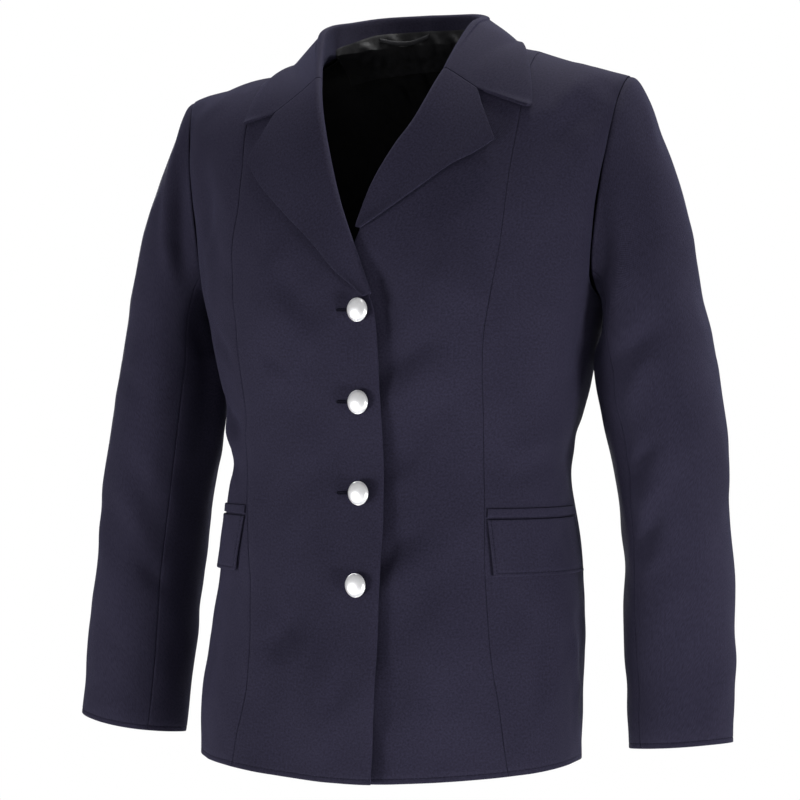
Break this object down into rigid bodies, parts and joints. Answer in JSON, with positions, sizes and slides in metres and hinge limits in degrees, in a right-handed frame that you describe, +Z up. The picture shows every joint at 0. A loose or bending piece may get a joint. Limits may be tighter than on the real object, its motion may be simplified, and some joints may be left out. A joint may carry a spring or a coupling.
{
  "type": "dress uniform jacket",
  "caption": "Woman's single-breasted dress uniform jacket in navy twill, notched lapels, flap pockets and domed metal buttons, filled out and hollow.",
  "frame": {"origin": "midway between the two neck ends of the shoulder seams, where the wearer's shoulders hold the jacket", "axes": "+Z up, +X towards the wearer's left, -Y out of the front"},
  "size_m": [0.628, 0.2599, 0.696],
  "materials": {
    "navy_twill": "fine wool-blend twill, matt with a faint blue sheen",
    "black_satin": "satin lining",
    "silvered_metal": "bright, plain and domed"
  },
  "bodies": {
    "root": {"front_left": "navy_twill", "front_right": "navy_twill", "side_front_left": "navy_twill", "side_front_right": "navy_twill", "back_left": "navy_twill", "back_right": "navy_twill", "lapel_left": "navy_twill", "lapel_right": "navy_twill", "collar": "navy_twill", "sleeve_upper_left": "navy_twill", "sleeve_upper_right": "navy_twill", "sleeve_under_left": "navy_twill", "sleeve_under_right": "navy_twill", "pocket_flap_left": "navy_twill", "pocket_flap_right": "navy_twill", "pocket_welt_left": "navy_twill", "pocket_welt_right": "navy_twill", "back_lining": "black_satin", "hanger_loop": "black_satin", "button_1": "silvered_metal", "button_2": "silvered_metal", "button_3": "silvered_metal", "button_4": "silvered_metal"}
  },
  "joints": []
}
